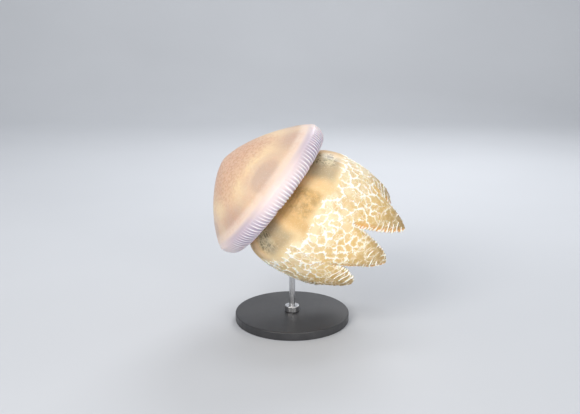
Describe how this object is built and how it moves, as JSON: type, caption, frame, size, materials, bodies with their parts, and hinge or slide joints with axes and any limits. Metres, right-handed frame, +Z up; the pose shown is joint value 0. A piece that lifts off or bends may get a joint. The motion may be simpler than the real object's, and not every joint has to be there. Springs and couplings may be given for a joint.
{
  "type": "jellyfish model",
  "caption": "Life-size jelly blubber jellyfish in a swimming pose: thick domed bell with a lappeted margin, arm disc and short three-winged oral arms, on a round display stand.",
  "frame": {"origin": "centre of the display base's underside", "axes": "+Z up; the bell's apex points up and towards -X, the oral arms down and towards +X; the side that the picture shows faces -Y"},
  "size_m": [0.3046, 0.25, 0.3275],
  "materials": {
    "dome": "translucent peach jelly, finely granular, satin",
    "margin": "translucent lavender-white jelly, finely grooved",
    "disc": "smooth translucent amber jelly",
    "arm_upper": "smooth translucent amber jelly",
    "arm_lower": "cream jelly with a raised white net, frilled edges",
    "stand": "satin black",
    "steel": "brushed"
  },
  "bodies": {
    "root": {"bell_dome": "dome", "bell_margin": "margin", "arm_disc": "disc", "disc_pillar_1": "disc", "disc_pillar_2": "disc", "disc_pillar_3": "disc", "disc_pillar_4": "disc", "arm_front_upper": "arm_upper", "arm_front_lower": "arm_lower", "arm_front_right_upper": "arm_upper", "arm_front_right_lower": "arm_lower", "arm_right_upper": "arm_upper", "arm_right_lower": "arm_lower", "arm_back_right_upper": "arm_upper", "arm_back_right_lower": "arm_lower", "arm_back_upper": "arm_upper", "arm_back_lower": "arm_lower", "arm_back_left_upper": "arm_upper", "arm_back_left_lower": "arm_lower", "arm_left_upper": "arm_upper", "arm_left_lower": "arm_lower", "arm_front_left_upper": "arm_upper", "arm_front_left_lower": "arm_lower", "stand_base": "stand", "stand_collar": "steel", "stand_rod": "steel"}
  },
  "joints": []
}
